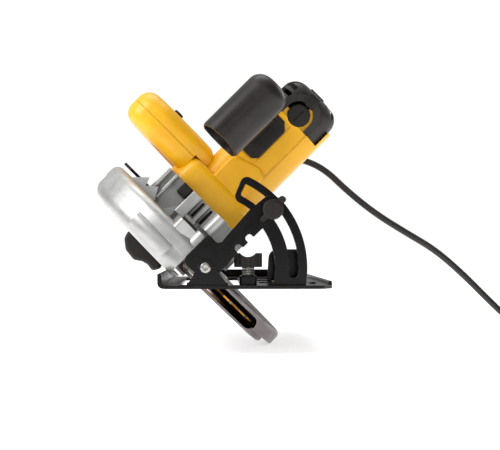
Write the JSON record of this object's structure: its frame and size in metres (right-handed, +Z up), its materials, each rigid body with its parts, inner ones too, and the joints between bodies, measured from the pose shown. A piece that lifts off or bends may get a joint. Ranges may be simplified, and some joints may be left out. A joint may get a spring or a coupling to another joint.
{
  "type": "circular saw",
  "caption": "Corded circular saw with a tilting head, retracting lower guard, D handle, front grip and stamped shoe.",
  "frame": {"origin": "centre of the shoe's sole", "axes": "+Z up out of the shoe, -Y to the front of the saw, +X to the motor side"},
  "size_m": [0.568, 0.307, 0.2519],
  "materials": {
    "yellow_housing": "satin moulded",
    "black_plastic": "fine moulded texture",
    "cast_metal": "satin cast",
    "black_metal": "gloss black paint",
    "grey_guard": "satin",
    "steel": "bright zinc",
    "blade_steel": "ground",
    "carbide": "brazed",
    "copper": "lacquered",
    "laminations": "oiled",
    "rubber": "matte",
    "carbon": "matte"
  },
  "bodies": {
    "shoe": {"shoe_plate": "black_metal", "front_hinge_lug": "black_metal", "rear_hinge_lug": "black_metal", "bevel_quadrant": "black_metal", "rear_rail": "black_metal", "fence_clamp": "black_metal", "fence_spring": "steel", "shoe_rivets": "steel", "bevel_pivot_screws": "steel"},
    "fence_knob": {"fence_knob": "black_plastic", "fence_screw": "steel"},
    "tilt_frame": {"bevel_bracket": "black_metal", "depth_strap": "black_metal", "bevel_bolt": "steel", "depth_pivot_pin": "steel"},
    "bevel_knob": {"bevel_knob": "black_plastic"},
    "head": {"upper_guard": "cast_metal", "gear_case": "cast_metal", "guard_ring": "steel", "guard_spring": "steel", "depth_bolt": "steel", "motor_housing": "yellow_housing", "end_cap": "black_plastic", "brush_caps": "black_plastic", "brush_holders": "copper", "carbon_brushes": "carbon", "stator_core": "laminations", "field_coils": "copper", "spindle_bearings": "steel", "armature_bearings": "steel", "handle_left": "yellow_housing", "handle_right": "yellow_housing", "housing_screws": "steel", "front_handle": "black_plastic", "handle_plate": "black_plastic", "switch_body": "black_plastic", "cable_gland": "rubber", "cord_tube": "rubber", "cord_coil": "rubber", "cord_tie": "black_plastic", "plug": "black_plastic", "plug_pins": "steel"},
    "depth_lever": {"depth_lever": "black_plastic"},
    "lower_guard": {"lower_guard": "grey_guard", "guard_lever": "black_plastic"},
    "spindle": {"blade": "blade_steel", "carbide_tips": "carbide", "inner_flange": "steel", "outer_flange": "steel", "blade_bolt": "steel", "spindle": "steel", "spindle_gear": "steel"},
    "armature": {"armature_shaft": "steel", "rotor_core": "laminations", "armature_windings": "copper", "commutator": "copper", "cooling_fan": "black_plastic"},
    "trigger": {"trigger": "black_plastic"},
    "lock_off_button": {"lock_off_button": "black_plastic"},
    "spindle_lock_button": {"spindle_lock_button": "black_plastic"}
  },
  "joints": [
    {"name": "bevel_tilt", "type": "hinge", "parent": "shoe", "child": "tilt_frame", "pos_m": [-0.0346, 0, 0.018], "axis": [0, -1, 0], "range_deg": [-45, 0]},
    {"name": "bevel_knob_turn", "type": "hinge", "parent": "tilt_frame", "child": "bevel_knob", "pos_m": [0.02298, -0.144, 0.06806], "axis": [0, -1, 0], "range_deg": [0, 90]},
    {"name": "depth_swing", "type": "hinge", "parent": "tilt_frame", "child": "head", "pos_m": [-0.03814, -0.126, 0.04275], "axis": [0.7071, 0, 0.7071], "range_deg": [0, 28]},
    {"name": "depth_lever_turn", "type": "hinge", "parent": "head", "child": "depth_lever", "pos_m": [-0.04307, 0.07388, 0.04768], "axis": [0.7071, 0, 0.7071], "range_deg": [0, 60]},
    {"name": "guard_swing", "type": "hinge", "parent": "head", "child": "lower_guard", "pos_m": [-0.04167, -0.015, 0.02507], "axis": [0.7071, 0, 0.7071], "range_deg": [0, 105], "stiffness_Nm_per_rad": 0.2, "springref_deg": -68.75},
    {"name": "armature_spin", "type": "hinge", "parent": "head", "child": "armature", "pos_m": [-0.06204, -0.015, 0.04544], "axis": [0.7071, 0, 0.7071], "continuous": true},
    {"name": "blade_spin", "type": "hinge", "parent": "head", "child": "spindle", "pos_m": [-0.04167, -0.015, 0.02507], "axis": [0.7071, 0, 0.7071], "continuous": true},
    {"name": "trigger_pull", "type": "slide", "parent": "head", "child": "trigger", "axis": [-0.7071, 0, 0.7071], "range_m": [0, 0.006], "stiffness_N_per_m": 500, "springref_m": -0.006},
    {"name": "lock_off_press", "type": "slide", "parent": "head", "child": "lock_off_button", "axis": [-0.7071, 0, -0.7071], "range_m": [0, 0.0022], "stiffness_N_per_m": 500, "springref_m": -0.004},
    {"name": "spindle_lock_press", "type": "slide", "parent": "head", "child": "spindle_lock_button", "axis": [0, 1, 0], "range_m": [0, 0.0035], "stiffness_N_per_m": 600, "springref_m": -0.004},
    {"name": "fence_knob_turn", "type": "hinge", "parent": "shoe", "child": "fence_knob", "pos_m": [0.0025, -0.1265, 0.02], "axis": [0, 0, 1], "range_deg": [0, 360]}
  ],
  "couplings": [
    {"joint": "blade_spin", "follows": "armature_spin", "ratio": -0.33333}
  ]
}
